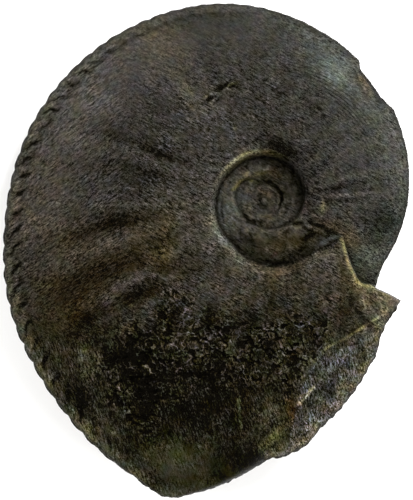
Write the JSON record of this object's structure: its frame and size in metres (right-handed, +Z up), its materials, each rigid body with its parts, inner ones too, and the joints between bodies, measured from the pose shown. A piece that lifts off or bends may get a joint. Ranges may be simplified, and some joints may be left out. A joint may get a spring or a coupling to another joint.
{
  "type": "amaltheus ammonite",
  "caption": "Fossil ammonite with a small stepped umbilicus, ribbed flanks, a corded keel and a broken body chamber, lying on one flank.",
  "frame": {"origin": "middle of the outline's box, on the surface that the fossil lies on", "axes": "+Z up, away from the flank it lies on; +Y along the longest extent, towards the rounded back of the coil; +X across, towards the start of the last whorl"},
  "size_m": [0.0978, 0.1184, 0.0234],
  "materials": {
    "fossil": "dark brown ironstone cast with remains of shell, dull satin sheen, ochre and olive patches"
  },
  "bodies": {
    "root": {"ammonite": "fossil"}
  },
  "joints": []
}
